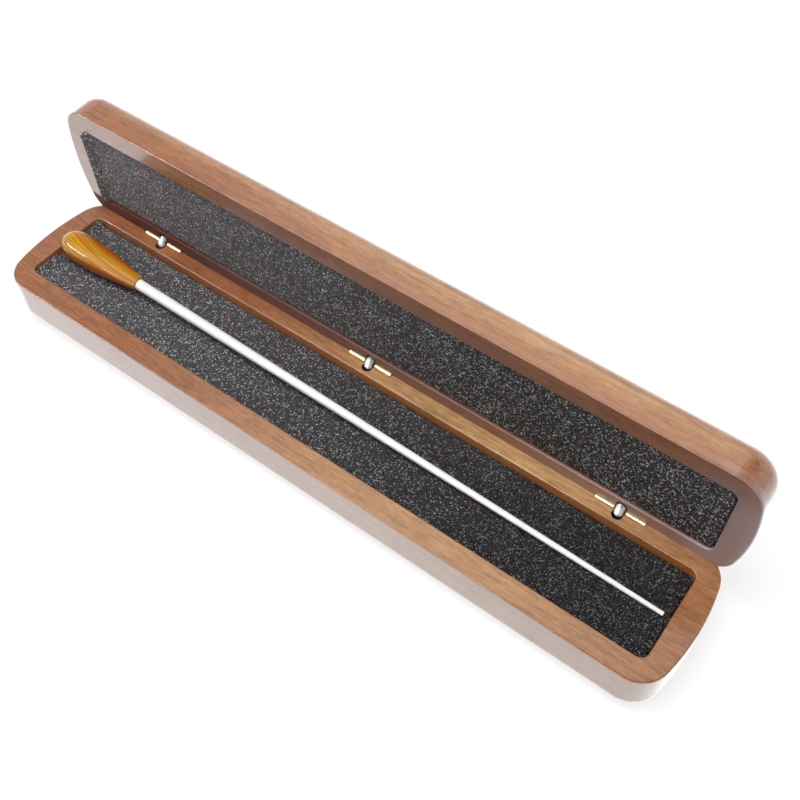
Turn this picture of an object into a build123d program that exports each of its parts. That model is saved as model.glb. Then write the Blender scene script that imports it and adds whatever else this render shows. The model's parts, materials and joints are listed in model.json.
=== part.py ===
from build123d import *
import os
from math import asin, cos, radians, sin, tan

# A long hinged wooden case for a conducting baton, shown with its lid open and the baton on its foam.
# Origin: centre of the base's flat bottom. +X runs along the case, +Y to the hinge side, +Z up.
# All sizes are in millimetres.

# Pocket milled into both halves
pocket_length = 360.0
pocket_width = 48.0
pocket_corner_radius = 4.0

# Wood left around the pocket
side_wall = 11.4
end_wall = 12.3
end_bow = 5.2
plan_corner_radius = 15.0
edge_round = 9.0
arris_round = 0.7

# Heights of the two halves, each measured from its rim
base_height = 29.0
lid_height = 20.0
base_floor = 5.0
lid_floor = 4.5

# How the halves meet and stop
opening_angle = 88.0
hinge_inset = 4.0
rim_gap = 0.1
stop_gap = 0.05

# Foam liners, set down from the rims
base_foam_recess = 4.5
lid_foam_recess = 1.0
foam_fit = 0.2
foam_edge_round = 1.5

# Three small hinges with knuckles on a barrel
hinge_pitch = 138.0
hinge_length = 25.0
barrel_diameter = 2.6
pin_diameter = 1.2
pin_clearance = 0.03
knuckles_each_side = 3
knuckle_gap = 0.12
barrel_clearance = 0.2
leaf_thickness = 1.0
leaf_depth = 8.0
leaf_fit = 0.05
leaf_notch_depth = 2.4

# Coil spring that crosses each hinge between two drilled holes
spring_offset = 3.0
spring_diameter = 4.4
spring_wire = 0.4
spring_hole_diameter = 5.4
base_spring_hole_depth = 15.0
lid_spring_hole_depth = 13.0
spring_gap_width = 6.0
anchor_plate_thickness = 2.5
anchor_stud_length = 4.0
anchor_fit = 0.05
spring_bore_fit = 0.1
spring_end_gap = 0.1

# Baton: a turned handle and a tapered shaft
baton_length = 355.6
butt_gap = 1.0
rest_gap = 0.3
handle_length = 54.2
belly_at = 11.0
belly_radius = 8.0
mouth_radius = 3.7
butt_fullness = 3.0
shoulder_swell = 6.6
body_swell = 20.0
neck_taper_length = 13.2
neck_taper_rise = 1.8
tenon_length = 25.0
tenon_radius = 2.4
tenon_fit = 0.03
shaft_radius = 2.9
tip_radius = 1.05
tip_round = 0.4

# Sizes that follow from the ones above
case_width = pocket_width + 2 * side_wall
half_length = pocket_length / 2 + end_wall
hinge_y = case_width / 2 - hinge_inset
hinge_z = base_height + rim_gap / 2
bevel_angle = opening_angle / 2
base_foam_thickness = base_height - base_floor - base_foam_recess
lid_foam_thickness = lid_height - lid_floor - lid_foam_recess
barrel_radius = barrel_diameter / 2
groove_radius = barrel_radius + barrel_clearance
pin_radius = pin_diameter / 2
side_span = (hinge_length - spring_gap_width) / 2
knuckle_pitch = side_span / knuckles_each_side
spring_radius = spring_diameter / 2
spring_bore_radius = spring_radius - spring_wire
hole_radius = spring_hole_diameter / 2

# Each half is drawn in a frame on the hinge axis, with local Y to the back and local Z up when shut
open_turn = radians(opening_angle)
base_frame = Plane(origin=(0, hinge_y, hinge_z), x_dir=(1, 0, 0), z_dir=(0, 0, 1))
lid_frame = Plane(origin=(0, hinge_y, hinge_z), x_dir=(1, 0, 0), z_dir=(0, sin(open_turn), cos(open_turn)))
# The base lies below its frame and the lid above its own
BASE_SIDE = -1
LID_SIDE = 1

hinge_places = {"left": -hinge_pitch, "middle": 0.0, "right": hinge_pitch}

os.makedirs("parts", exist_ok=True)


def section_plane(frame, x):
    """The plane across the case at x, with its first axis along the frame's Y and its second along Z."""
    return Plane(origin=frame.from_local_coords((x, 0, 0)), x_dir=frame.y_dir, z_dir=frame.x_dir)


def build_shell(frame, side, height, floor_thickness, hole_depth):
    """One wooden half, with its pocket, its stop bevel and its three hinge seats."""
    rim = frame.offset(side * rim_gap / 2)
    outward = Axis(rim.origin, rim.z_dir * side)
    corner_x = half_length - end_bow
    front = -hinge_y - case_width / 2
    back = front + case_width
    with BuildPart() as shell:
        # Plan: straight sides, gently bowed ends and rounded corners
        with BuildSketch(rim) as plan:
            with BuildLine():
                Line((-corner_x, front), (corner_x, front))
                ThreePointArc((corner_x, front), (half_length, -hinge_y), (corner_x, back))
                Line((corner_x, back), (-corner_x, back))
                ThreePointArc((-corner_x, back), (-half_length, -hinge_y), (-corner_x, front))
            make_face()
            fillet(plan.vertices(), plan_corner_radius)
        extrude(amount=side * height)
        fillet(shell.faces().sort_by(outward)[-1].edges(), edge_round)
        # Pocket, and a small round on both edges of the rim
        with BuildSketch(rim):
            with Locations((0, -hinge_y)):
                RectangleRounded(pocket_length, pocket_width, pocket_corner_radius)
        extrude(amount=side * (height - floor_thickness), mode=Mode.SUBTRACT)
        fillet(shell.faces().sort_by(outward)[0].edges(), arris_round)
        # The bevel behind the axis meets the other half's bevel when the lid is fully open
        reach = 2 * hinge_inset
        lead = stop_gap / 2 / sin(radians(bevel_angle))
        with BuildSketch(section_plane(frame, 0)):
            with BuildLine():
                Polyline(
                    (-lead, 0),
                    (reach, side * (reach + lead) * tan(radians(bevel_angle))),
                    (reach, 0),
                    close=True,
                )
            make_face()
        extrude(amount=half_length, both=True, mode=Mode.SUBTRACT)
        for x in hinge_places.values():
            # Groove for the barrel and kerf for the leaf
            with BuildSketch(section_plane(frame, x)):
                Circle(groove_radius)
                with Locations((0, side * leaf_depth / 2)):
                    Rectangle(leaf_thickness + 2 * leaf_fit, leaf_depth + 2 * leaf_fit)
            extrude(amount=hinge_length / 2 + knuckle_gap, both=True, mode=Mode.SUBTRACT)
            # Drilled hole for the spring
            with BuildSketch(frame):
                with Locations((x, -spring_offset)):
                    Circle(hole_radius)
            extrude(amount=side * hole_depth, mode=Mode.SUBTRACT)
    return shell.part


def build_foam(frame, side, height, floor_thickness, thickness):
    """A foam block that fills the pocket from its floor up to the recess."""
    bed = frame.offset(side * (rim_gap / 2 + height - floor_thickness))
    inward = Axis(bed.origin, bed.z_dir * -side)
    with BuildPart() as foam:
        with BuildSketch(bed):
            with Locations((0, -hinge_y)):
                RectangleRounded(
                    pocket_length - 2 * foam_fit,
                    pocket_width - 2 * foam_fit,
                    pocket_corner_radius - foam_fit,
                )
        extrude(amount=-side * thickness)
        fillet(foam.faces().sort_by(inward)[-1].edges(), foam_edge_round)
    return foam.part


def knuckle_places(x, first):
    """The middles of every second knuckle, left and right of the spring gap."""
    inner = spring_gap_width / 2
    middles = []
    for hand in (-1, 1):
        for k in range(knuckles_each_side):
            if (k + first + (hand > 0)) % 2 == 0:
                middles.append(x + hand * (inner + (k + 0.5) * knuckle_pitch))
    return middles


def build_leaf(frame, side, x, first):
    """A brass leaf with its knuckles; the spring passes through the notch in its middle."""
    knuckle_length = knuckle_pitch - knuckle_gap
    plate_top = groove_radius
    with BuildPart() as leaf:
        # The plate stands in the kerf, below the barrel
        with BuildSketch(frame.offset(side * plate_top)):
            with Locations((x, 0)):
                Rectangle(hinge_length, leaf_thickness)
        extrude(amount=side * (leaf_depth - plate_top))
        with BuildSketch(frame.offset(side * plate_top)):
            with Locations((x, 0)):
                Rectangle(spring_gap_width, leaf_thickness)
        extrude(amount=side * (leaf_notch_depth - plate_top), mode=Mode.SUBTRACT)
        # A knuckle is a tube on the axis, joined to the plate by a short web
        for middle in knuckle_places(x, first):
            with BuildSketch(section_plane(frame, middle)):
                Circle(barrel_radius)
                with Locations((0, side * plate_top / 2)):
                    Rectangle(leaf_thickness, plate_top)
                Circle(pin_radius + pin_clearance, mode=Mode.SUBTRACT)
            extrude(amount=knuckle_length / 2, both=True)
    return leaf.part


def build_pin(frame, x, hand):
    """A short hinge pin through the knuckles on one side of the spring gap."""
    middle = x + hand * (spring_gap_width + side_span) / 2
    with BuildPart() as pin:
        with BuildSketch(section_plane(frame, middle)):
            Circle(pin_radius)
        extrude(amount=(side_span - knuckle_gap) / 2, both=True)
    return pin.part


def build_anchor(frame, side, x, hole_depth):
    """A steel plug at the bottom of a spring hole, with the stud that the last coils grip."""
    plug = Plane(
        origin=frame.from_local_coords((x, -spring_offset, side * hole_depth)),
        x_dir=frame.x_dir,
        z_dir=frame.z_dir * -side,
    )
    with BuildPart() as anchor:
        with BuildSketch(plug):
            Circle(hole_radius - anchor_fit)
        extrude(amount=anchor_plate_thickness)
        with BuildSketch(plug.offset(anchor_plate_thickness)):
            Circle(spring_bore_radius - spring_bore_fit)
        extrude(amount=anchor_stud_length)
    return anchor.part


def build_spring(x):
    """The coil's outer form: a tube from anchor to anchor, bent round the hinge axis."""
    seat = anchor_plate_thickness + spring_end_gap
    base_run = base_spring_hole_depth - seat
    lid_run = lid_spring_hole_depth - seat
    bend_end = radians(180) - open_turn
    end_y = spring_offset * cos(bend_end)
    end_z = spring_offset * sin(bend_end)
    across = section_plane(base_frame, x)
    start = Plane(origin=across.from_local_coords((-spring_offset, -base_run, 0)), z_dir=base_frame.z_dir)
    with BuildPart() as spring:
        with BuildLine(across):
            Line((-spring_offset, -base_run), (-spring_offset, 0))
            CenterArc((0, 0), spring_offset, 180, -opening_angle)
            Line((end_y, end_z), (end_y + lid_run * sin(bend_end), end_z - lid_run * cos(bend_end)))
        with BuildSketch(start):
            Circle(spring_radius)
            Circle(spring_bore_radius, mode=Mode.SUBTRACT)
        sweep()
    return spring.part


# The baton lies on the foam at the handle's belly and at the shaft's tip, so it tilts a little
foam_top = base_height - base_foam_recess
belly_height = foam_top + rest_gap + belly_radius
tip_height = foam_top + rest_gap + tip_radius
baton_tilt = asin((belly_height - tip_height) / (baton_length - belly_at))
butt_x = -pocket_length / 2 + butt_gap
butt_height = belly_height + belly_at * sin(baton_tilt)
baton_plane = Plane(
    origin=(butt_x, 0, butt_height),
    x_dir=(cos(baton_tilt), 0, -sin(baton_tilt)),
    z_dir=(0, -1, 0),
)
baton_axis = Axis(baton_plane.origin, baton_plane.x_dir)
socket_end = handle_length - tenon_length - tenon_fit
socket_radius = tenon_radius + tenon_fit


def save(part, node):
    """Labels a finished piece and writes it to its own file."""
    part.label = node
    export_step(part, f"parts/{node}.step")


# Wooden halves
base_shell = build_shell(base_frame, BASE_SIDE, base_height, base_floor, base_spring_hole_depth)
save(base_shell, "base_shell")
lid_shell = build_shell(lid_frame, LID_SIDE, lid_height, lid_floor, lid_spring_hole_depth)
save(lid_shell, "lid_shell")

# Foam liners
base_foam = build_foam(base_frame, BASE_SIDE, base_height, base_floor, base_foam_thickness)
save(base_foam, "base_foam")
lid_foam = build_foam(lid_frame, LID_SIDE, lid_height, lid_floor, lid_foam_thickness)
save(lid_foam, "lid_foam")

# Hinges, each with two leaves, two pins, a spring and the spring's two anchors
for place, hinge_x in hinge_places.items():
    save(build_leaf(base_frame, BASE_SIDE, hinge_x, 0), f"{place}_hinge_base_leaf")
    save(build_leaf(lid_frame, LID_SIDE, hinge_x, 1), f"{place}_hinge_lid_leaf")
    save(build_pin(base_frame, hinge_x, -1), f"{place}_hinge_pin_a")
    save(build_pin(base_frame, hinge_x, 1), f"{place}_hinge_pin_b")
    save(build_spring(hinge_x), f"{place}_hinge_spring")
    save(build_anchor(base_frame, BASE_SIDE, hinge_x, base_spring_hole_depth), f"{place}_hinge_base_anchor")
    save(build_anchor(lid_frame, LID_SIDE, hinge_x, lid_spring_hole_depth), f"{place}_hinge_lid_anchor")

# Baton handle, turned to a pear shape: a domed butt, then a long sweep to the mouth and its socket
with BuildPart() as baton_handle:
    with BuildSketch(baton_plane):
        with BuildLine():
            Bezier(
                (0, 0),
                (0, butt_fullness),
                (belly_at - shoulder_swell, belly_radius),
                (belly_at, belly_radius),
            )
            Bezier(
                (belly_at, belly_radius),
                (belly_at + body_swell, belly_radius),
                (handle_length - neck_taper_length, mouth_radius + neck_taper_rise),
                (handle_length, mouth_radius),
            )
            Polyline(
                (handle_length, mouth_radius),
                (handle_length, socket_radius),
                (socket_end, socket_radius),
                (socket_end, 0),
                (0, 0),
            )
        make_face()
    revolve(axis=baton_axis)
save(baton_handle.part, "baton_handle")

# Baton shaft, a long straight taper with a tenon in the handle
with BuildPart() as baton_shaft:
    with BuildSketch(baton_plane):
        with BuildLine():
            Polyline(
                (handle_length - tenon_length, 0),
                (handle_length - tenon_length, tenon_radius),
                (handle_length + tenon_fit, tenon_radius),
                (handle_length + tenon_fit, shaft_radius),
                (baton_length, tip_radius),
                (baton_length, 0),
                close=True,
            )
        make_face()
    revolve(axis=baton_axis)
    fillet(baton_shaft.edges().sort_by(baton_axis)[-1], tip_round)
save(baton_shaft.part, "baton_shaft")
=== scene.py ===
"""Finishes for a hinged wooden baton case: lacquered halves, foam liners, spring hinges and a baton.

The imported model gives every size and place. This file adds the materials, the foam liners,
the wound springs, the floor, the lamps and the camera. Lengths and places are in metres, in the
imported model's frame, where the lid stands open.
"""

import json
import logging
import math
import random
from dataclasses import dataclass, field, replace
from enum import Enum
from typing import NamedTuple

import bmesh
import bpy
from mathutils import Euler, Matrix, Vector, noise

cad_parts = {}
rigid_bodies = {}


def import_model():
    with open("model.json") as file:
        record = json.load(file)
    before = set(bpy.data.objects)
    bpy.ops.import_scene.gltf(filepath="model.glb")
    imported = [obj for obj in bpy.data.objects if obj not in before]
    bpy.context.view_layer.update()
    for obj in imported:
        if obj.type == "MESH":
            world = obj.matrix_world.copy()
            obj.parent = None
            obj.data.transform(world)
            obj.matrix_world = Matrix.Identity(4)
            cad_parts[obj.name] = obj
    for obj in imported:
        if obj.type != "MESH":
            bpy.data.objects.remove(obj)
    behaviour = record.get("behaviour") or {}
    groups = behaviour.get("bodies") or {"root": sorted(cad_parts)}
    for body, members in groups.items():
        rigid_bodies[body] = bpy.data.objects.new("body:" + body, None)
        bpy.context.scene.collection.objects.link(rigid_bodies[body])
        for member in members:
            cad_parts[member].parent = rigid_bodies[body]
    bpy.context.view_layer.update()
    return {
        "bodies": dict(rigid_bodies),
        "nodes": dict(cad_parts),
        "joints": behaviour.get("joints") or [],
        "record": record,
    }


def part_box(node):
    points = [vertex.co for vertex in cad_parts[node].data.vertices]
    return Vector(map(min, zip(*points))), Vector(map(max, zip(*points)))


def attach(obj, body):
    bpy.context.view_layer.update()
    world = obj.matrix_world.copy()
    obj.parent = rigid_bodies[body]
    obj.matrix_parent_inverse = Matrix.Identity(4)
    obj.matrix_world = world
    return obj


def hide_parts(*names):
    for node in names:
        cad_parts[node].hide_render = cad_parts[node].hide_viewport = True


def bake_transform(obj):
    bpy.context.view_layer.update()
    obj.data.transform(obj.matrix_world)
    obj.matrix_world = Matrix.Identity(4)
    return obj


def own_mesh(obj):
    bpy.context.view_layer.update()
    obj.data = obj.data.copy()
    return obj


logging.basicConfig(level=logging.INFO, format="%(message)s")
LOG = logging.getLogger("baton_case")

MM = 0.001
PLACES = ("left", "middle", "right")

Colour = tuple[float, float, float]
Place = tuple[float, float, float]
Socket = bpy.types.NodeSocket
Value = Socket | float
Paint = Socket | Colour


class Half(Enum):
    """The two halves of the case. The value is the name of the half's body."""

    BASE = "base"
    LID = "lid"


class Span(NamedTuple):
    """A soft step: where it begins and ends, and its result on either side."""

    low: float
    high: float
    start: float = 0.0
    end: float = 1.0


class Gloss(NamedTuple):
    """The roughness of a clean surface and of one marked by hands, and how fine the marks are."""

    clean: float
    marked: float
    scale: float = 60.0


class Relief(NamedTuple):
    """The strength and the depth of a bump."""

    strength: float
    depth: float


class Graph:
    """A short way to write a node tree: it adds nodes, sets their sockets and links them."""

    def __init__(self, tree: bpy.types.NodeTree) -> None:
        """Keeps the tree and empties it.

        Args:
            tree: the node tree to write into.
        """
        self.tree = tree
        tree.nodes.clear()

    def add(self, kind: str, sockets: dict | None = None, **settings: object) -> bpy.types.Node:
        """Adds a node.

        Args:
            kind: the node type without its ShaderNode prefix, or a full name that begins with Node.
            sockets: input name or index to a value, or to an output socket to link.
            settings: properties of the node itself.

        Returns:
            The new node.
        """
        node = self.tree.nodes.new(kind if kind.startswith("Node") else "ShaderNode" + kind)
        for name, value in settings.items():
            setattr(node, name, value)
        for name, value in (sockets or {}).items():
            socket = node.inputs[name]
            if isinstance(value, Socket):
                self.tree.links.new(value, socket)
            elif isinstance(value, tuple) and socket.type == "RGBA":
                socket.default_value = (*value, 1.0)
            else:
                socket.default_value = value
        return node

    def math(self, operation: str, *values: Value, clamp: bool = False) -> Socket:
        """Adds a Math node.

        Args:
            operation: Blender's name of the operation.
            values: numbers or sockets.
            clamp: keep the result between 0 and 1.

        Returns:
            The result socket.
        """
        node = self.add("Math", dict(enumerate(values)), operation=operation, use_clamp=clamp)
        return node.outputs[0]

    def product(self, first: Value, *others: Value) -> Value:
        """Multiplies masks and numbers.

        Args:
            first: the first of them.
            others: the ones that it is multiplied by, in turn.

        Returns:
            The product.
        """
        for other in others:
            first = self.math("MULTIPLY", first, other)
        return first

    def mix(self, factor: Value, first: Paint, second: Paint, blend: str = "MIX") -> Socket:
        """Mixes two colours.

        Args:
            factor: number or socket. The node keeps it between 0 and 1.
            first: colour or socket at factor 0.
            second: colour or socket at factor 1.
            blend: Blender's name of the blend mode.

        Returns:
            The colour socket.
        """
        node = self.add("Mix", {0: factor, 6: first, 7: second}, data_type="RGBA", blend_type=blend)
        return node.outputs[2]

    def ramp(self, value: Socket, low: float, high: float, start: float = 0.0, end: float = 1.0) -> Socket:
        """Maps a value from low..high to start..end with a smooth step.

        Args:
            value: the socket to map.
            low: the value that gives start.
            high: the value that gives end.
            start: result at low.
            end: result at high.

        Returns:
            The mapped value.
        """
        node = self.add("MapRange", {0: value, 1: low, 2: high, 3: start, 4: end},
                        interpolation_type="SMOOTHSTEP")
        return node.outputs[0]

    def noise(self, coords: Socket, scale: Value, detail: float = 2.0,
              roughness: float = 0.5, distortion: float = 0.0) -> Socket:
        """Adds a noise texture.

        Args:
            coords: where it is read.
            scale: how fine it is.
            detail: how many finer layers it has.
            roughness: how strong the finer layers are.
            distortion: how far it is warped.

        Returns:
            Its value between 0 and 1.
        """
        node = self.add("TexNoise", {"Vector": coords, "Scale": scale, "Detail": detail,
                                     "Roughness": roughness, "Distortion": distortion})
        return node.outputs["Fac"]

    def split(self, vector: Socket) -> bpy.types.bpy_prop_collection:
        """The X, Y and Z of a vector."""
        return self.add("SeparateXYZ", {0: vector}).outputs

    def bump(self, height: Socket, relief: Relief) -> Socket:
        """The normal of a surface with this relief."""
        node = self.add("Bump", {"Height": height, "Strength": relief.strength, "Distance": relief.depth})
        return node.outputs[0]

    def surface(self, **sockets: Value | Paint) -> None:
        """Ends a material with a Principled surface.

        Args:
            sockets: the Principled BSDF's sockets, with an underscore for each space in a name.
        """
        named = {name.replace("_", " "): value for name, value in sockets.items()}
        self.add("OutputMaterial", {"Surface": self.add("BsdfPrincipled", named).outputs[0]})


def shader_group(name: str, inputs: dict[str, object], outputs: dict[str, str]
                 ) -> tuple[bpy.types.NodeTree, Graph, dict[str, Socket], bpy.types.Node]:
    """Starts a shader node group.

    Args:
        name: the group's name.
        inputs: input name to its default number, its default colour or "vector".
        outputs: output name to its socket type.

    Returns:
        The group, its graph, its input sockets by name and its output node.
    """
    tree = bpy.data.node_groups.new(name, "ShaderNodeTree")
    graph = Graph(tree)
    for label, default in inputs.items():
        if default == "vector":
            tree.interface.new_socket(label, in_out="INPUT", socket_type="NodeSocketVector")
        elif isinstance(default, tuple):
            socket = tree.interface.new_socket(label, in_out="INPUT", socket_type="NodeSocketColor")
            socket.default_value = (*default, 1.0)
        else:
            socket = tree.interface.new_socket(label, in_out="INPUT", socket_type="NodeSocketFloat")
            socket.default_value = default
    for label, kind in outputs.items():
        tree.interface.new_socket(label, in_out="OUTPUT", socket_type=kind)
    entry = graph.add("NodeGroupInput")
    end = graph.add("NodeGroupOutput")
    return tree, graph, {label: entry.outputs[label] for label in inputs}, end


@dataclass(frozen=True)
class WoodGrain:
    """The grain of stained wood that runs along X in a solid block."""

    fibre_weight: float = 1.2
    cloud_scale: float = 28.0
    cloud_weight: float = 0.5
    curl_scale: float = 210.0
    streak_share: float = 0.7
    streak_step: Span = Span(0.66, 0.74)

    def group(self) -> bpy.types.NodeTree:
        """Builds the node group, which puts out a colour and a height.

        Returns:
            The shared node group.
        """
        tree, graph, given, end = shader_group(
            "wood_grain",
            {"Vector": "vector", "Pale": (0.5, 0.3, 0.2), "Deep": (0.2, 0.08, 0.04),
             "Fleck": (0.08, 0.03, 0.02), "Stretch": 12.0, "Fibre Scale": 900.0, "Band Scale": 90.0,
             "Bands": 0.5, "Flecks": 0.5, "Curl": 0.2},
            {"Color": "NodeSocketColor", "Height": "NodeSocketFloat"},
        )
        parts = graph.split(given["Vector"])
        along = graph.math("DIVIDE", parts[0], given["Stretch"])
        long_way = graph.add("CombineXYZ", {0: along, 1: parts[1], 2: parts[2]}).outputs[0]
        fibres = graph.noise(long_way, given["Fibre Scale"], detail=3.0, roughness=0.6)
        bands = graph.noise(long_way, given["Band Scale"], distortion=0.6)
        clouds = graph.noise(given["Vector"], self.cloud_scale)
        curl = graph.noise(given["Vector"], self.curl_scale, detail=1.0, roughness=0.4, distortion=1.2)
        tone = 0.5
        for layer, weight in ((bands, given["Bands"]), (fibres, self.fibre_weight),
                              (clouds, self.cloud_weight), (curl, given["Curl"])):
            tone = graph.math("MULTIPLY_ADD", graph.math("SUBTRACT", layer, 0.5), weight, tone)
        streaks = graph.noise(long_way, graph.product(given["Fibre Scale"], self.streak_share), detail=1.0)
        fleck = graph.product(graph.ramp(streaks, *self.streak_step), given["Flecks"])
        wood = graph.mix(tone, given["Deep"], given["Pale"])
        tree.links.new(graph.mix(fleck, wood, given["Fleck"]), end.inputs["Color"])
        tree.links.new(graph.math("SUBTRACT", fibres, fleck), end.inputs["Height"])
        return tree


@dataclass(frozen=True)
class HandlingMarks:
    """Faint marks of handling on lacquer or metal: soft smears that change the gloss."""

    smear: Span = Span(0.45, 0.7)

    def group(self) -> bpy.types.NodeTree:
        """Builds the node group, which puts out a roughness and the mask of the smears.

        Returns:
            The shared node group.
        """
        tree, graph, given, end = shader_group(
            "handling_marks",
            {"Vector": "vector", "Clean": 0.05, "Marked": 0.15, "Scale": 60.0},
            {"Roughness": "NodeSocketFloat", "Mask": "NodeSocketFloat"},
        )
        smear_and_haze_cloud = graph.noise(given["Vector"], given["Scale"], detail=4.0, roughness=0.6)
        mask = graph.ramp(smear_and_haze_cloud, *self.smear)
        spread = graph.math("SUBTRACT", given["Marked"], given["Clean"])
        tree.links.new(graph.math("MULTIPLY_ADD", mask, spread, given["Clean"]), end.inputs["Roughness"])
        tree.links.new(mask, end.inputs["Mask"])
        return tree


class Groups:
    """The shader node groups that several finishes share, each built once."""

    def __init__(self) -> None:
        """Builds the groups."""
        self.grain = WoodGrain().group()
        self.handling = HandlingMarks().group()

    def marks(self, graph: Graph, coords: Socket, gloss: Gloss) -> bpy.types.bpy_prop_collection:
        """Adds the handling marks to a material.

        Args:
            graph: the material's graph.
            coords: the Object coordinates.
            gloss: how the marks change the surface.

        Returns:
            The outputs Roughness and Mask.
        """
        return graph.add("Group", {"Vector": coords, "Clean": gloss.clean, "Marked": gloss.marked,
                                   "Scale": gloss.scale}, node_tree=self.handling).outputs


def new_material(name: str) -> tuple[bpy.types.Material, Graph, Socket]:
    """Starts a material.

    Args:
        name: the material's name.

    Returns:
        The material, its graph and the Object coordinates.
    """
    material = bpy.data.materials.new(name)
    material.use_nodes = True
    graph = Graph(material.node_tree)
    return material, graph, graph.add("TexCoord").outputs["Object"]


@dataclass(frozen=True)
class PaintedSheen:
    """Painted sheen: a paler, greyer stretch towards the hinges, right of the middle, for the lacquer's
    reflected light.
    """

    across: Span
    reach: float
    centre: float = 0.07
    core: float = 0.02
    tint: Colour = (1.7, 2.8, 3.1)

    def over(self, graph: Graph, coords: Socket, colour: Socket) -> Socket:
        """Lays the painted sheen over a colour.

        Args:
            graph: the material's graph.
            coords: the Object coordinates.
            colour: the stained wood.

        Returns:
            The wood with its painted sheen.
        """
        parts = graph.split(coords)
        offset = graph.math("ABSOLUTE", graph.math("SUBTRACT", parts[0], self.centre))
        along = graph.ramp(offset, self.core, self.reach, 1.0, 0.0)
        mask = graph.product(along, graph.ramp(parts[1], *self.across))
        # Painted sheen: the wood turns paler and greyer where its lacquer would reflect the light.
        return graph.mix(mask, colour, self.tint, blend="MULTIPLY")


@dataclass(frozen=True)
class PocketPaintedLight:
    """The walls of the milled pocket, painted a brighter, fuller red as painted light for the light on them.
    """

    half_length: float
    half_width: float
    rim: float
    share: float = 0.75
    painted_lit_red: Colour = (0.66, 0.21, 0.035)

    def over(self, graph: Graph, coords: Socket, colour: Socket) -> Socket:
        """Lays the painted light over the pocket's walls.

        Args:
            graph: the material's graph.
            coords: the Object coordinates.
            colour: the wood with its painted sheen.

        Returns:
            The wood with its pocket.
        """
        parts = graph.split(coords)
        inside = graph.math("LESS_THAN", parts[2], self.rim)
        for part, half in ((parts[0], self.half_length), (parts[1], self.half_width)):
            inside = graph.product(inside, graph.math("LESS_THAN", graph.math("ABSOLUTE", part), half))
        # Painted light: the pocket's walls are painted a brighter red than the rest of the wood.
        return graph.mix(graph.product(inside, self.share), colour, self.painted_lit_red)


@dataclass(frozen=True)
class RimPaintedShadeAndHaze:
    """Painted shade: a darker strip beside the hinges on the lid, whose lacquer is also rougher and thinner,
    and a painted grey haze of reflected light towards the rim's right end.
    """

    strip: Span = Span(0.036, 0.0385, 1.0, 0.0)
    strip_along: Span = Span(-0.1, 0.14, 1.0, 0.2)
    painted_shade: Colour = (0.3, 0.12, 0.08)
    rougher: float = 0.5
    coat_lost: float = 0.95
    haze_on_strip: Span = Span(0.05, 0.13, 0.0, 0.35)
    haze_on_end: Span = Span(0.15, 0.178, 0.1, 0.8)
    haze_height: Span = Span(0.1, 0.07, 0.12, 1.0)
    haze_on_rim: Span = Span(0.0325, 0.034, 1.0, 0.0)
    haze_start: Span = Span(-0.14, -0.08)
    smear_and_haze_cloud: Colour = (0.47, 0.38, 0.4)

    def over(self, graph: Graph, coords: Socket, colour: Socket) -> tuple[Socket, Socket]:
        """Lays the painted shade of the strip and the painted haze over a colour.

        Args:
            graph: the material's graph.
            coords: the Object coordinates.
            colour: the wood with its painted sheen.

        Returns:
            The colour, and the mask of the strip's painted shade, which also roughens the lacquer.
        """
        along, across, height = graph.split(coords)
        # Painted shade: the strip beside the hinges is darkened, most towards the left end; its mask also
        # dulls the lacquer.
        low = graph.ramp(height, *self.strip)
        dull = graph.product(low, graph.ramp(along, *self.strip_along))
        colour = graph.mix(dull, colour, self.painted_shade, blend="MULTIPLY")
        # Painted haze: a pale grey veil of reflected light on the strip and at the rim's right end.
        strip = graph.product(low, graph.ramp(along, *self.haze_on_strip))
        corner = graph.product(graph.ramp(along, *self.haze_on_end), graph.ramp(height, *self.haze_height))
        smear_and_haze_cloud = graph.product(graph.math("MAXIMUM", strip, corner), graph.ramp(across, *self.haze_on_rim),
                              graph.ramp(along, *self.haze_start))
        return graph.mix(smear_and_haze_cloud, colour, self.smear_and_haze_cloud), dull


@dataclass(frozen=True)
class LacqueredWood:
    """Stained and milled wood under clear lacquer."""

    name: str
    pale: Colour
    deep: Colour
    fleck: Colour
    stretch: float
    fibre_scale: float
    band_scale: float
    bands: float
    flecks: float
    curl: float
    coat: float
    coat_roughness: float
    painted_sheen: PaintedSheen
    pocket: PocketPaintedLight | None = None
    rim_shade_and_haze: RimPaintedShadeAndHaze | None = None
    gloss: Gloss = Gloss(0.34, 0.42)
    relief: Relief = Relief(0.12, 0.05 * MM)

    def material(self, groups: Groups) -> bpy.types.Material:
        """Builds the material.

        Args:
            groups: the shared node groups.

        Returns:
            The material.
        """
        material, graph, coords = new_material(self.name)
        grain = graph.add("Group", {
            "Vector": coords, "Pale": self.pale, "Deep": self.deep, "Fleck": self.fleck,
            "Stretch": self.stretch, "Fibre Scale": self.fibre_scale, "Band Scale": self.band_scale,
            "Bands": self.bands, "Flecks": self.flecks, "Curl": self.curl,
        }, node_tree=groups.grain).outputs
        # Painted sheen laid over the grain.
        colour = self.painted_sheen.over(graph, coords, grain["Color"])
        rough = groups.marks(graph, coords, self.gloss)["Roughness"]
        coat = self.coat
        if self.pocket is not None:
            # Painted light on the pocket's walls.
            colour = self.pocket.over(graph, coords, colour)
        if self.rim_shade_and_haze is not None:
            # Painted shade and painted haze on the lid's rim; the strip's mask also makes the lacquer
            # rougher and thinner.
            colour, dull = self.rim_shade_and_haze.over(graph, coords, colour)
            rough = graph.math("MULTIPLY_ADD", dull, self.rim_shade_and_haze.rougher, rough)
            coat = graph.math("MULTIPLY_ADD", dull, -self.rim_shade_and_haze.coat_lost * self.coat, self.coat)
        graph.surface(Base_Color=colour, Roughness=rough, Coat_Weight=coat,
                      Coat_Roughness=self.coat_roughness, Normal=graph.bump(grain["Height"], self.relief))
        return material


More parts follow.
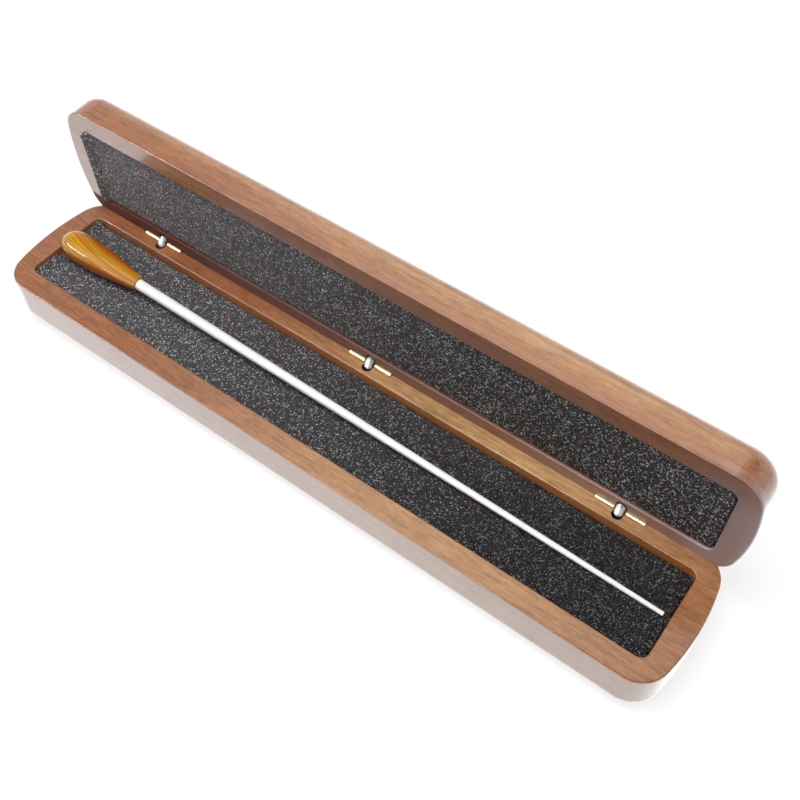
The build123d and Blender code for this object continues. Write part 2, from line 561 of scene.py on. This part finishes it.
@dataclass(frozen=True)
class StripedWood:
    """Golden hardwood with fine dark stripes, turned and lacquered, and a darker russet painted shade on its
    flanks.

    The stripes run from the butt to the neck, which are the ends of the handle's axis.
    """

    butt: Vector
    neck: Vector
    name: str = "handle_wood"
    gold: Colour = (0.65, 0.325, 0.003)
    amber: Colour = (0.48, 0.185, 0.002)
    painted_flank_shade: Colour = (0.46, 0.07, 0.002)
    line: Colour = (0.3, 0.12, 0.003)
    lean: float = math.radians(27.0)
    slant: float = math.radians(11.0)
    stripe: float = 1.75 * MM
    narrowing: Span = Span(0.15, 1.0, 1.0, 1.9)
    stretch: float = 26.0
    depth: float = 5.0
    patch_scale: float = 330.0
    fibre_scale: float = 1150.0
    wander: float = 8.0
    stripe_weight: float = 0.5
    golden: Span = Span(0.35, 0.62)
    flank_shift: float = 0.8 * MM
    shaded_flank_span: Span = Span(4.6 * MM, 8.4 * MM)
    line_step: Span = Span(0.35, 1.0)
    line_share: float = 0.7
    gloss: Gloss = Gloss(0.36, 0.45)
    relief: Relief = Relief(0.08, 0.03 * MM)
    coat: float = 0.55
    coat_roughness: float = 0.05
    specular: float = 0.15

    def material(self, groups: Groups) -> bpy.types.Material:
        """Builds the material.

        Args:
            groups: the shared node groups.

        Returns:
            The material.
        """
        material, graph, coords = new_material(self.name)
        reach = self.neck - self.butt
        placed = graph.add("VectorMath", {0: coords, 1: self.butt}, operation="SUBTRACT").outputs[0]
        turned = graph.add("VectorRotate", {"Vector": placed, "Angle": -self.lean, "Axis": (1, 0, 0)})
        along, side, inward = graph.split(turned.outputs[0])
        drop = graph.product(along, reach.z / reach.x)
        across = graph.math("SUBTRACT", side, graph.product(drop, math.sin(self.lean)))
        spread = graph.product(across, graph.ramp(graph.math("DIVIDE", along, reach.x), *self.narrowing))
        lane = graph.math("MULTIPLY_ADD", along, math.tan(self.slant), spread)
        plank = graph.add("CombineXYZ", {0: graph.math("DIVIDE", along, self.stretch), 1: lane,
                                         2: graph.math("DIVIDE", inward, self.depth)}).outputs[0]
        patches = graph.noise(plank, self.patch_scale, detail=1.0)
        fibres = graph.noise(plank, self.fibre_scale, roughness=0.6)
        bent = graph.product(patches, self.wander)
        turn = graph.math("MULTIPLY_ADD", lane, 2 * math.pi / self.stripe, bent)
        wave = graph.math("MULTIPLY_ADD", graph.math("SINE", turn), self.stripe_weight, fibres)
        lines = graph.product(graph.ramp(wave, *self.line_step), self.line_share)
        # Painted shade: the handle turns a darker russet towards its outline on both flanks.
        edge = graph.math("ABSOLUTE", graph.math("SUBTRACT", spread, self.flank_shift))
        colour = graph.mix(graph.ramp(patches, *self.golden), self.amber, self.gold)
        colour = graph.mix(graph.ramp(edge, *self.shaded_flank_span), colour, self.painted_flank_shade)
        colour = graph.mix(lines, colour, self.line)
        graph.surface(Base_Color=colour, Roughness=groups.marks(graph, coords, self.gloss)["Roughness"],
                      Coat_Weight=self.coat, Coat_Roughness=self.coat_roughness,
                      Specular_IOR_Level=self.specular, Normal=graph.bump(fibres, self.relief))
        return material


@dataclass(frozen=True)
class CutFoam:
    """Charcoal open-cell foam, with painted glints for cell walls that catch the light.

    Its hollows carry painted shade. The painted haze, which pales the foam towards its left end, is given
    at the left end and at clear_at, and the level of the painted glints at the left and right ends.
    """

    name: str
    painted_haze: tuple[float, float]
    painted_glint_level: tuple[float, float]
    clear_at: float
    cell_scale: float
    half_length: float = 0.18
    shaded_hollow: Colour = (0.003, 0.003, 0.005)
    wall: Colour = (0.05, 0.046, 0.052)
    painted_haze_colour: Colour = (0.6, 0.57, 0.6)
    painted_glint: Colour = (0.9, 0.92, 0.88)
    grey: Colour = (0.5, 0.5, 0.5)
    hue_scale: float = 0.8
    hue_share: float = 0.5
    hue_on_walls: float = 0.55
    hue_on_glints: float = 0.4
    wall_step: Span = Span(0.15, 0.75)
    lit_cells: Span = Span(0.5, 1.0)
    lit_contrast: float = 1.6
    lit_core: Span = Span(0.65, 0.3)
    roughness: Span = Span(0.0, 1.0, 0.28, 0.6)
    relief: Relief = Relief(1.0, 0.45 * MM)
    specular: float = 0.3

    def material(self) -> bpy.types.Material:
        """Builds the material.

        Returns:
            The material.
        """
        material, graph, coords = new_material(self.name)
        cells = graph.add("TexVoronoi", {"Vector": coords, "Scale": self.cell_scale}).outputs
        hues = graph.add("TexVoronoi", {"Vector": coords, "Scale": self.cell_scale * self.hue_scale})
        hue = hues.outputs["Color"]
        # Painted shade: the hollows between the cell walls are near-black.
        tone = graph.mix(graph.ramp(cells["Distance"], *self.wall_step), self.wall, self.shaded_hollow)
        tinted = graph.mix(1.0, tone, graph.mix(self.hue_share, self.grey, hue), blend="MULTIPLY")
        tone = graph.mix(self.hue_on_walls, tone, tinted)
        along = graph.split(coords)[0]
        # Painted haze: the foam is painted paler towards its left end.
        tone = graph.mix(graph.ramp(along, -self.half_length, self.clear_at, *self.painted_haze), tone, self.painted_haze_colour)
        cell = graph.add("SeparateColor", {0: cells["Color"]}).outputs
        # Painted glints: bright cells stand in for cell walls that catch the light, at a level that changes
        # from end to end.
        bright = graph.math("POWER", graph.ramp(cell["Red"], *self.lit_cells), self.lit_contrast)
        bright = graph.product(bright, graph.ramp(cells["Distance"], *self.lit_core))
        glint_level = graph.ramp(along, -self.half_length, self.half_length, *self.painted_glint_level)
        bright = graph.math("MULTIPLY", bright, glint_level, clamp=True)
        colour = graph.mix(bright, tone, graph.mix(self.hue_on_glints, self.painted_glint, hue))
        graph.surface(Base_Color=colour, Roughness=graph.ramp(cell["Green"], *self.roughness),
                      Normal=graph.bump(cells["Distance"], self.relief), Specular_IOR_Level=self.specular)
        return material


@dataclass(frozen=True)
class HoleShade:
    """The dark ends of a spring, inside the two holes that it runs in."""

    base_rim: float
    lid_rim: float
    soft: float = 0.5 * MM
    lit_from: float = 0.2 * MM
    shade: Colour = (0.08, 0.08, 0.09)

    def over(self, graph: Graph, coords: Socket, colour: Socket) -> Socket:
        """Darkens the wire inside the holes.

        Args:
            graph: the material's graph.
            coords: the Object coordinates.
            colour: the bare metal.

        Returns:
            The shaded metal.
        """
        _, across, height = graph.split(coords)
        above = graph.ramp(height, self.base_rim - self.soft, self.base_rim + self.soft)
        ahead = graph.ramp(across, self.lid_rim + self.soft, self.lid_rim - self.lit_from)
        return graph.mix(graph.product(above, ahead), self.shade, colour)


@dataclass(frozen=True)
class Metal:
    """Bare metal with fine handling marks."""

    name: str
    colour: Colour
    dull: Colour
    gloss: Gloss
    holes: HoleShade | None = None

    def material(self, groups: Groups) -> bpy.types.Material:
        """Builds the material.

        Args:
            groups: the shared node groups.

        Returns:
            The material.
        """
        material, graph, coords = new_material(self.name)
        marks = groups.marks(graph, coords, self.gloss)
        colour = graph.mix(marks["Mask"], self.colour, self.dull)
        if self.holes is not None:
            colour = self.holes.over(graph, coords, colour)
        graph.surface(Base_Color=colour, Metallic=1.0, Roughness=marks["Roughness"])
        return material


@dataclass(frozen=True)
class WhiteLacquer:
    """White lacquer on a thin wooden shaft, with a trace of the wood's grain under it."""

    name: str = "white_lacquer"
    white: Colour = (0.98, 0.98, 0.98)
    shade: Colour = (0.93, 0.93, 0.94)
    stretch: float = 20.0
    fibre_scale: float = 1500.0
    fibre_step: Span = Span(0.55, 0.8)
    gloss: Gloss = Gloss(0.22, 0.34, 140.0)
    relief: Relief = Relief(0.1, 0.02 * MM)
    coat: float = 0.6
    coat_roughness: float = 0.08

    def material(self, groups: Groups) -> bpy.types.Material:
        """Builds the material.

        Args:
            groups: the shared node groups.

        Returns:
            The material.
        """
        material, graph, coords = new_material(self.name)
        stretched = graph.add("Mapping", {"Vector": coords, "Scale": (1 / self.stretch, 1.0, 1.0)})
        fibres = graph.noise(stretched.outputs[0], self.fibre_scale)
        colour = graph.mix(graph.ramp(fibres, *self.fibre_step), self.white, self.shade)
        graph.surface(Base_Color=colour, Roughness=groups.marks(graph, coords, self.gloss)["Roughness"],
                      Coat_Weight=self.coat, Coat_Roughness=self.coat_roughness,
                      Normal=graph.bump(fibres, self.relief))
        return material


# Both halves carry a painted sheen over their grain.
BASE_WOOD = LacqueredWood(
    name="base_wood", pale=(0.47, 0.187, 0.077), deep=(0.17, 0.05, 0.017), fleck=(0.08, 0.022, 0.009),
    stretch=12.0, fibre_scale=1700.0, band_scale=480.0, bands=0.9, flecks=0.45, curl=0.4,
    coat=1.0, coat_roughness=0.14, painted_sheen=PaintedSheen(across=Span(0.0, 0.028, 0.3, 0.75), reach=0.165),
)
LID_WOOD = replace(BASE_WOOD, name="lid_wood", painted_sheen=PaintedSheen(across=Span(0.033, 0.042, 0.0, 0.4), reach=0.32),
                   rim_shade_and_haze=RimPaintedShadeAndHaze())
FOAMS = {
    Half.BASE: CutFoam(name="base_foam_cells", painted_haze=(0.1, 0.0), painted_glint_level=(0.9, 0.27), clear_at=0.15,
                       cell_scale=1450.0),
    Half.LID: CutFoam(name="lid_foam_cells", painted_haze=(0.21, 0.0), painted_glint_level=(1.3, 1.45), clear_at=0.1,
                      cell_scale=1400.0),
}
BRASS = Metal(name="brass", colour=(0.98, 0.9, 0.54), dull=(0.88, 0.74, 0.38), gloss=Gloss(0.36, 0.5, 900.0))
STEEL = Metal(name="spring_steel", colour=(0.97, 0.97, 0.98), dull=(0.82, 0.83, 0.85),
              gloss=Gloss(0.32, 0.45, 900.0))


def dress(piece: bpy.types.Object, material: bpy.types.Material) -> None:
    """Gives every slot of a piece one material.

    Args:
        piece: the mesh object.
        material: its material.
    """
    if not piece.material_slots:
        piece.data.materials.append(material)
    for each in piece.material_slots:
        each.material = material


def make_piece(name: str, shape: bmesh.types.BMesh, material: bpy.types.Material,
               smooth: bool = True) -> bpy.types.Object:
    """Turns a bmesh into a finished object at the origin.

    Args:
        name: the object's name.
        shape: the mesh, freed here.
        material: its material.
        smooth: shade the faces smooth.

    Returns:
        The linked object.
    """
    mesh = bpy.data.meshes.new(name)
    for face in shape.faces:
        face.smooth = smooth
    shape.to_mesh(mesh)
    shape.free()
    piece = bpy.data.objects.new(name, mesh)
    bpy.context.scene.collection.objects.link(piece)
    dress(piece, material)
    return piece


@dataclass
class HingeAxis:
    """The line that the lid turns about, and how far it stands open at rest."""

    frame: dict
    origin: Vector = field(init=False)
    opening: float = field(init=False)

    def __post_init__(self) -> None:
        """Reads the joint from the frame."""
        joint = next(j for j in self.frame["joints"] if j["name"] == "lid_hinge")
        self.origin = Vector(joint["pos_m"])
        self.opening = math.radians(joint["range_deg"][1])

    def closing(self) -> Matrix:
        """The turn from the rest pose to the shut pose."""
        return self.about(self.opening)

    def opened(self) -> Matrix:
        """The turn from the shut pose to the rest pose."""
        return self.about(-self.opening)

    def about(self, angle: float) -> Matrix:
        """A turn about the axis.

        Args:
            angle: in radians, by the right-hand rule about +X.

        Returns:
            The matrix.
        """
        there = Matrix.Translation(self.origin)
        return there @ Matrix.Rotation(angle, 4, "X") @ there.inverted()


@dataclass
class FoamLiner:
    """A foam block cut to the pocket, with a torn open-cell surface.

    The base's block rises at its left end, apart from a saddle under the baton's handle.
    """

    half: Half
    axis: HingeAxis
    nodes: dict
    spacing: float = 0.75 * MM
    corner_radius: float = 3.8 * MM
    edge_round: float = 1.6 * MM
    edge_fall: float = 0.6
    crumb: float = 0.22 * MM
    crumb_low: float = -1.0
    crumb_high: float = 0.6
    crumb_scale: float = 700.0
    roll: float = 0.15 * MM
    roll_scale: float = 40.0
    end_rise: float = 3.4 * MM
    end_run: float = 6.0 * MM
    saddle: float = 8.5 * MM
    jitter: float = 0.25
    seed: int = 5

    @property
    def node(self) -> str:
        """The name of the CAD solid that the liner stands for."""
        return f"{self.half.value}_foam"

    @property
    def body(self) -> str:
        """The body that the liner rides on."""
        return self.half.value

    def shut_box(self) -> tuple[Vector, Vector]:
        """The liner's lowest and highest corners with the case shut.

        Returns:
            The two corners.
        """
        turn = self.axis.closing() if self.half is Half.LID else Matrix.Identity(4)
        points = [turn @ v.co for v in self.nodes[self.node].data.vertices]
        low = Vector(min(p[i] for p in points) for i in range(3))
        high = Vector(max(p[i] for p in points) for i in range(3))
        return low, high

    def round_corner(self, x: float, y: float, half_x: float, half_y: float) -> tuple[float, float]:
        """Moves a point of the square grid so that the block gets round corners.

        Args:
            x: the point's place along the block.
            y: the point's place across it.
            half_x: half of the block's length.
            half_y: half of its width.

        Returns:
            The new place.
        """
        over = Vector((abs(x) - half_x + self.corner_radius, abs(y) - half_y + self.corner_radius))
        if over.x <= 0 or over.y <= 0:
            return x, y
        reach = over.normalized() * max(over)
        return (math.copysign(half_x - self.corner_radius + reach.x, x),
                math.copysign(half_y - self.corner_radius + reach.y, y))

    def tear(self, shape: bmesh.types.BMesh, half_x: float, half_y: float) -> None:
        """Gives the top its rolled edges, slow waves, torn cells and raised left end.

        Args:
            shape: the flat grid, at height 0.
            half_x: half of the block's length.
            half_y: half of its width.
        """
        chance = random.Random(self.seed)
        for vert in shape.verts:
            inset = min(half_x - abs(vert.co.x), half_y - abs(vert.co.y))
            gap = max(0.0, 1.0 - inset / self.edge_round)
            fall = self.edge_round * (1.0 - math.sqrt(max(0.0, 1.0 - gap * gap)))
            wave = noise.noise(vert.co * self.roll_scale) * self.roll
            cell = noise.noise(vert.co * self.crumb_scale) * self.crumb
            end = max(0.0, 1.0 - (vert.co.x + half_x) / self.end_run)
            clear = min(1.0, abs(vert.co.y) / self.saddle) if self.half is Half.BASE else 1.0
            rise = self.end_rise * end * end * (3 - 2 * end) * clear ** 3
            torn = chance.uniform(self.crumb_low, self.crumb_high) * self.crumb
            vert.co.z = rise + wave + cell + torn - fall * self.edge_fall
            if inset > self.spacing:
                vert.co.x += chance.uniform(-self.jitter, self.jitter) * self.spacing
                vert.co.y += chance.uniform(-self.jitter, self.jitter) * self.spacing

    def block(self, size: Vector) -> bmesh.types.BMesh:
        """Cuts the block with its torn face up, at height 0.

        Args:
            size: the block's length, width and thickness.

        Returns:
            The closed mesh.
        """
        half_x, half_y = size.x / 2, size.y / 2
        shape = bmesh.new()
        bmesh.ops.create_grid(shape, x_segments=round(size.x / self.spacing),
                              y_segments=round(size.y / self.spacing), size=1.0)
        bmesh.ops.scale(shape, vec=(half_x, half_y, 1.0), verts=shape.verts)
        rim = [edge for edge in shape.edges if edge.is_boundary]
        for vert in shape.verts:
            vert.co.x, vert.co.y = self.round_corner(vert.co.x, vert.co.y, half_x, half_y)
        self.tear(shape, half_x, half_y)
        walls = bmesh.ops.extrude_edge_only(shape, edges=rim)["geom"]
        for foot in (item for item in walls if isinstance(item, bmesh.types.BMVert)):
            foot.co.z = -size.z
        bmesh.ops.contextual_create(shape, geom=[edge for edge in shape.edges if edge.is_boundary])
        bmesh.ops.recalc_face_normals(shape, faces=shape.faces)
        return shape

    def build(self, material: bpy.types.Material) -> bpy.types.Object:
        """Args:
            material: the foam's finish.

        Returns:
            The piece.
        """
        low, high = self.shut_box()
        centre = (low + high) / 2
        shape = self.block(high - low)
        surface, turn = high.z, Matrix.Identity(4)
        if self.half is Half.LID:
            bmesh.ops.scale(shape, vec=(1.0, 1.0, -1.0), verts=shape.verts)
            bmesh.ops.reverse_faces(shape, faces=shape.faces)
            surface, turn = low.z, self.axis.opened()
        place = Matrix.Translation((centre.x, centre.y, surface))
        bmesh.ops.transform(shape, matrix=turn @ place, verts=shape.verts)
        liner = make_piece(f"{self.node}_liner", shape, material, smooth=False)
        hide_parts(self.node)
        if self.half is Half.LID:
            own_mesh(liner)
        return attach(liner, self.body)


@dataclass
class HingeSpring:
    """A close-wound spring that leaves the base's hole, bends round the axis and enters the lid's hole."""

    place: str
    axis: HingeAxis
    wire_radius: float = 0.25 * MM
    bend_radius: float = 2.15 * MM
    coil_diameter: float = 4.3 * MM
    flatness: float = 0.78
    anchored_at: float = 3.0 * MM
    pitch: float = 0.4 * MM
    steps_per_turn: int = 14
    wire_sides: int = 6

    @property
    def node(self) -> str:
        """The name of the CAD solid that the spring stands for."""
        return f"{self.place}_hinge_spring"

    @property
    def bend(self) -> float:
        """The length of the spring that is bent at rest."""
        return self.bend_radius * self.axis.opening

    def path(self, distance: float, base_run: float) -> Matrix:
        """The frame of the spring's centre line.

        Args:
            distance: how far along the line, from its lower end.
            base_run: the straight length in the base's hole.

        Returns:
            The matrix that carries a point of a straight spring along Z to its place.
        """
        mouth = self.axis.origin + Vector((0, -self.bend_radius, 0))
        spread = self.anchored_at - self.bend_radius
        if distance <= base_run:
            back = 1.0 - distance / base_run
            return Matrix.Translation(mouth + Vector((0, -spread * back, distance - base_run)))
        angle = min(distance - base_run, self.bend) / self.bend_radius
        rest = max(0.0, distance - base_run - self.bend)
        lean = spread * rest / base_run
        return self.axis.about(-angle) @ Matrix.Translation(mouth + Vector((0, -lean, rest)))

    def wind(self, length: float) -> bmesh.types.BMesh:
        """Winds the wire round Z, straight up from height 0.

        Args:
            length: the height of the coil.

        Returns:
            The mesh.
        """
        turns = math.floor(length / self.pitch)
        steps = turns * self.steps_per_turn
        shape = bmesh.new()
        ring = bmesh.ops.create_circle(shape, cap_ends=True, segments=self.wire_sides,
                                       radius=self.wire_radius)["verts"]
        bmesh.ops.rotate(shape, cent=(0, 0, 0), matrix=Matrix.Rotation(math.pi / 2, 3, "X"), verts=ring)
        coil_radius = self.coil_diameter / 2 - self.wire_radius
        bmesh.ops.translate(shape, vec=(coil_radius, 0, self.wire_radius), verts=ring)
        bmesh.ops.spin(
            shape, geom=shape.verts[:] + shape.edges[:] + shape.faces[:], cent=(0, 0, 0), axis=(0, 0, 1),
            dvec=(0, 0, length / steps), angle=2 * math.pi * turns, steps=steps, use_merge=False,
        )
        return shape

    def build(self, material: bpy.types.Material) -> bpy.types.Object:
        """Args:
            material: the wire's finish.

        Returns:
            The piece.
        """
        low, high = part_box(self.node)
        centre = Vector(((low.x + high.x) / 2, 0, 0))
        base_run = self.axis.origin.z - low.z
        lid_run = (high.y - self.axis.origin.y) / math.sin(self.axis.opening)
        shape = self.wind(base_run + lid_run + self.bend - 2 * self.wire_radius)
        for vert in shape.verts:
            flat = Vector((vert.co.x, vert.co.y * self.flatness, 0))
            vert.co = self.path(vert.co.z, base_run) @ flat + centre
        bmesh.ops.recalc_face_normals(shape, faces=shape.faces)
        spring = make_piece(f"{self.node}_wire", shape, material)
        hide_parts(self.node)
        start = self.path(base_run, base_run).to_translation() + centre
        finish = self.path(base_run + self.bend, base_run).to_translation() + centre
        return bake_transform(spring)


def facing(place: Place, target: Place) -> Euler:
    """The turn that points a lamp or a camera from a place to a target."""
    return (Vector(target) - Vector(place)).to_track_quat("-Z", "Y").to_euler()


@dataclass(frozen=True)
class Lamp:
    """A rectangular soft lamp, which either lights the object or only shows in its gloss."""

    name: str
    place: Place
    size: tuple[float, float]
    watts: float
    target: Place = (-0.15, 0.0, 0.03)
    lights: bool = False

    def hang(self) -> None:
        """Adds the lamp to the scene."""
        data = bpy.data.lights.new(self.name, "AREA")
        data.shape = "RECTANGLE"
        data.size, data.size_y = self.size
        data.energy = self.watts
        lamp = bpy.data.objects.new(self.name, data)
        lamp.location = self.place
        lamp.rotation_euler = facing(self.place, self.target)
        lamp.visible_diffuse = self.lights
        lamp.visible_glossy = not self.lights
        bpy.context.scene.collection.objects.link(lamp)


@dataclass(frozen=True)
class SkyPatch:
    """A soft round patch of light in the sky, which shows in gloss."""

    side: Place
    level: float
    edge: float = 0.9

    def strength(self, graph: Graph, direction: Socket) -> Socket:
        """The patch's strength along a ray.

        Args:
            graph: the world's graph.
            direction: the ray's direction.

        Returns:
            The strength.
        """
        toward = graph.add("VectorMath", {0: direction, 1: Vector(self.side).normalized()},
                           operation="DOT_PRODUCT").outputs["Value"]
        return graph.ramp(toward, self.edge, 1.0, 0.0, self.level)


LAMPS = (
    Lamp("key", (-0.05, -0.17, 1.1), (0.5, 0.5), 9.8, target=(0.0, 0.0, 0.02), lights=True),
    Lamp("window", (-0.765, -0.553, 0.36), (0.42, 0.12), 3.2),
    Lamp("lattice", (-0.47, -0.83, 0.2), (0.1, 0.1), 0.35),
    Lamp("sill", (-0.05, -0.95, 0.36), (0.6, 0.12), 2.4),
    Lamp("edge", (-0.37, -0.2, 0.93), (0.4, 0.4), 1.2),
)


@dataclass
class Studio:
    """A plain pale floor, soft lamps and the camera. None of it belongs to the object."""

    eye: Place = (0.1963, -0.2114, 0.4271)
    aim: Place = (0.0246, 0.0219, 0.029)
    lens: float = 46.8
    sensor: float = 36.0
    nearest: float = 0.01
    floor_size: float = 8.0
    floor_paint: float = 0.25
    floor_glow: float = 0.8
    floor_in_gloss: float = 1.4
    sky: float = 0.32
    sky_in_gloss: Span = Span(0.45, 0.8, 1.0, 0.15)
    rear_patch: SkyPatch = SkyPatch((-0.22, 0.55, 0.81), 1.9)
    rear_tint: Colour = (1.0, 0.97, 0.8)
    front_patch: SkyPatch = SkyPatch((-0.39, -0.6, 0.7), 1.5)

    def build(self) -> None:
        """Sets up the floor, the world, the lamps and the camera."""
        self.lay_floor()
        self.light_world()
        for lamp in LAMPS:
            lamp.hang()
        self.place_camera()
        bpy.context.scene.view_settings.view_transform = "Standard"

    def lay_floor(self) -> None:
        """A white floor that keeps a soft shadow and shows white to the camera."""
        shape = bmesh.new()
        bmesh.ops.create_grid(shape, x_segments=1, y_segments=1, size=self.floor_size / 2)
        material = bpy.data.materials.new("pale_floor")
        material.use_nodes = True
        graph = Graph(material.node_tree)
        rays = graph.add("LightPath").outputs
        paint = graph.add("BsdfDiffuse", {"Color": (self.floor_paint,) * 3})
        lift = graph.product(rays["Is Camera Ray"], self.floor_glow)
        strength = graph.math("MULTIPLY_ADD", self.in_gloss(graph, rays), self.floor_in_gloss, lift)
        glow = graph.add("Emission", {"Strength": strength})
        both = graph.add("AddShader", {0: paint.outputs[0], 1: glow.outputs[0]})
        graph.add("OutputMaterial", {"Surface": both.outputs[0]})
        floor = make_piece("floor", shape, material, smooth=False)

    def light_world(self) -> None:
        """An even sky, white to the camera. Gloss sees a bright horizon, a dim ceiling and two patches."""
        world = bpy.data.worlds.new("sky")
        bpy.context.scene.world = world
        world.use_nodes = True
        graph = Graph(world.node_tree)
        rays = graph.add("LightPath").outputs
        direction = graph.add("TexCoord").outputs["Generated"]
        rear = self.rear_patch.strength(graph, direction)
        front = self.front_patch.strength(graph, direction)
        open_sky = graph.ramp(graph.split(direction)[2], *self.sky_in_gloss)
        open_sky = graph.math("ADD", graph.math("ADD", open_sky, front), rear)
        gloss = self.in_gloss(graph, rays)
        level = self.between(graph, gloss, self.sky, open_sky)
        level = self.between(graph, rays["Is Camera Ray"], level, 1.0)
        warm = graph.product(gloss, graph.ramp(rear, 0.0, self.rear_patch.level))
        colour = graph.mix(warm, (1.0, 1.0, 1.0), self.rear_tint)
        back = graph.add("Background", {"Color": colour, "Strength": level})
        graph.add("OutputWorld", {"Surface": back.outputs[0]})

    @staticmethod
    def in_gloss(graph: Graph, rays: bpy.types.bpy_prop_collection) -> Socket:
        """The mask of the rays that gloss sends out."""
        return graph.math("ADD", rays["Is Glossy Ray"], rays["Is Transmission Ray"], clamp=True)

    @staticmethod
    def between(graph: Graph, factor: Socket, first: Value, second: Value) -> Socket:
        """Goes from a first to a second strength by a factor."""
        return graph.math("MULTIPLY_ADD", factor, graph.math("SUBTRACT", second, first), first)

    def place_camera(self) -> None:
        """The photograph's viewing angle."""
        data = bpy.data.cameras.new("camera")
        data.lens = self.lens
        data.sensor_width = self.sensor
        data.clip_start = self.nearest
        camera = bpy.data.objects.new("camera", data)
        camera.location = self.eye
        camera.rotation_euler = facing(self.eye, self.aim)
        bpy.context.scene.collection.objects.link(camera)
        bpy.context.scene.camera = camera


@dataclass
class BatonCase:
    """The whole object: it dresses the CAD nodes and builds the pieces that stand for the soft ones."""

    frame: dict
    pocket_margin: float = 0.8 * MM
    arris: float = 0.7 * MM

    def pocket(self) -> PocketPaintedLight:
        """Finds the base's pocket from its foam and its rim.

        Returns:
            The painted light on the pocket's walls.
        """
        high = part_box("base_foam")[1]
        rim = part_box("base_shell")[1].z
        return PocketPaintedLight(high.x + self.pocket_margin, high.y + self.pocket_margin, rim - self.arris)

    def handle_wood(self) -> StripedWood:
        """The handle's finish, laid along its own axis from butt to neck.

        Returns:
            The finish.
        """
        low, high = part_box("baton_handle")
        girth = (high.z - low.z) / 2
        start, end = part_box("baton_shaft")
        neck_height = end.z - (end.y - start.y) / 2
        return StripedWood(butt=Vector((low.x, 0.0, low.z + girth)), neck=Vector((high.x, 0.0, neck_height)))

    def build(self) -> None:
        """Dresses and builds every piece in order."""
        groups = Groups()
        axis = HingeAxis(self.frame)
        nodes = self.frame["nodes"]
        finishes = {
            "base_shell": replace(BASE_WOOD, pocket=self.pocket()), "lid_shell": LID_WOOD,
            "baton_handle": self.handle_wood(), "baton_shaft": WhiteLacquer(),
        }
        for name, finish in finishes.items():
            dress(nodes[name], finish.material(groups))
            LOG.info("%s: %s", name, finish.name)
        for half, finish in FOAMS.items():
            liner = FoamLiner(half, axis, nodes).build(finish.material())
            LOG.info("%s: %d faces", liner.name, len(liner.data.polygons))
        brass = BRASS.material(groups)
        steel = STEEL.material(groups)
        holes = HoleShade(base_rim=axis.origin.z, lid_rim=axis.origin.y)
        bent_steel = replace(STEEL, name="bent_spring_steel", holes=holes).material(groups)
        for place in PLACES:
            for part in ("base_leaf", "lid_leaf"):
                dress(nodes[f"{place}_hinge_{part}"], brass)
            for part in ("pin_a", "pin_b", "base_anchor", "lid_anchor"):
                dress(nodes[f"{place}_hinge_{part}"], steel)
            LOG.info("%s hinge: leaves, pins and anchors", place)
            spring = HingeSpring(place, axis).build(bent_steel)
            LOG.info("%s: %d faces", spring.name, len(spring.data.polygons))


def main() -> None:
    """Loads the frame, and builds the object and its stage."""
    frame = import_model()
    BatonCase(frame).build()
    Studio().build()


if __name__ == "__main__":
    main()
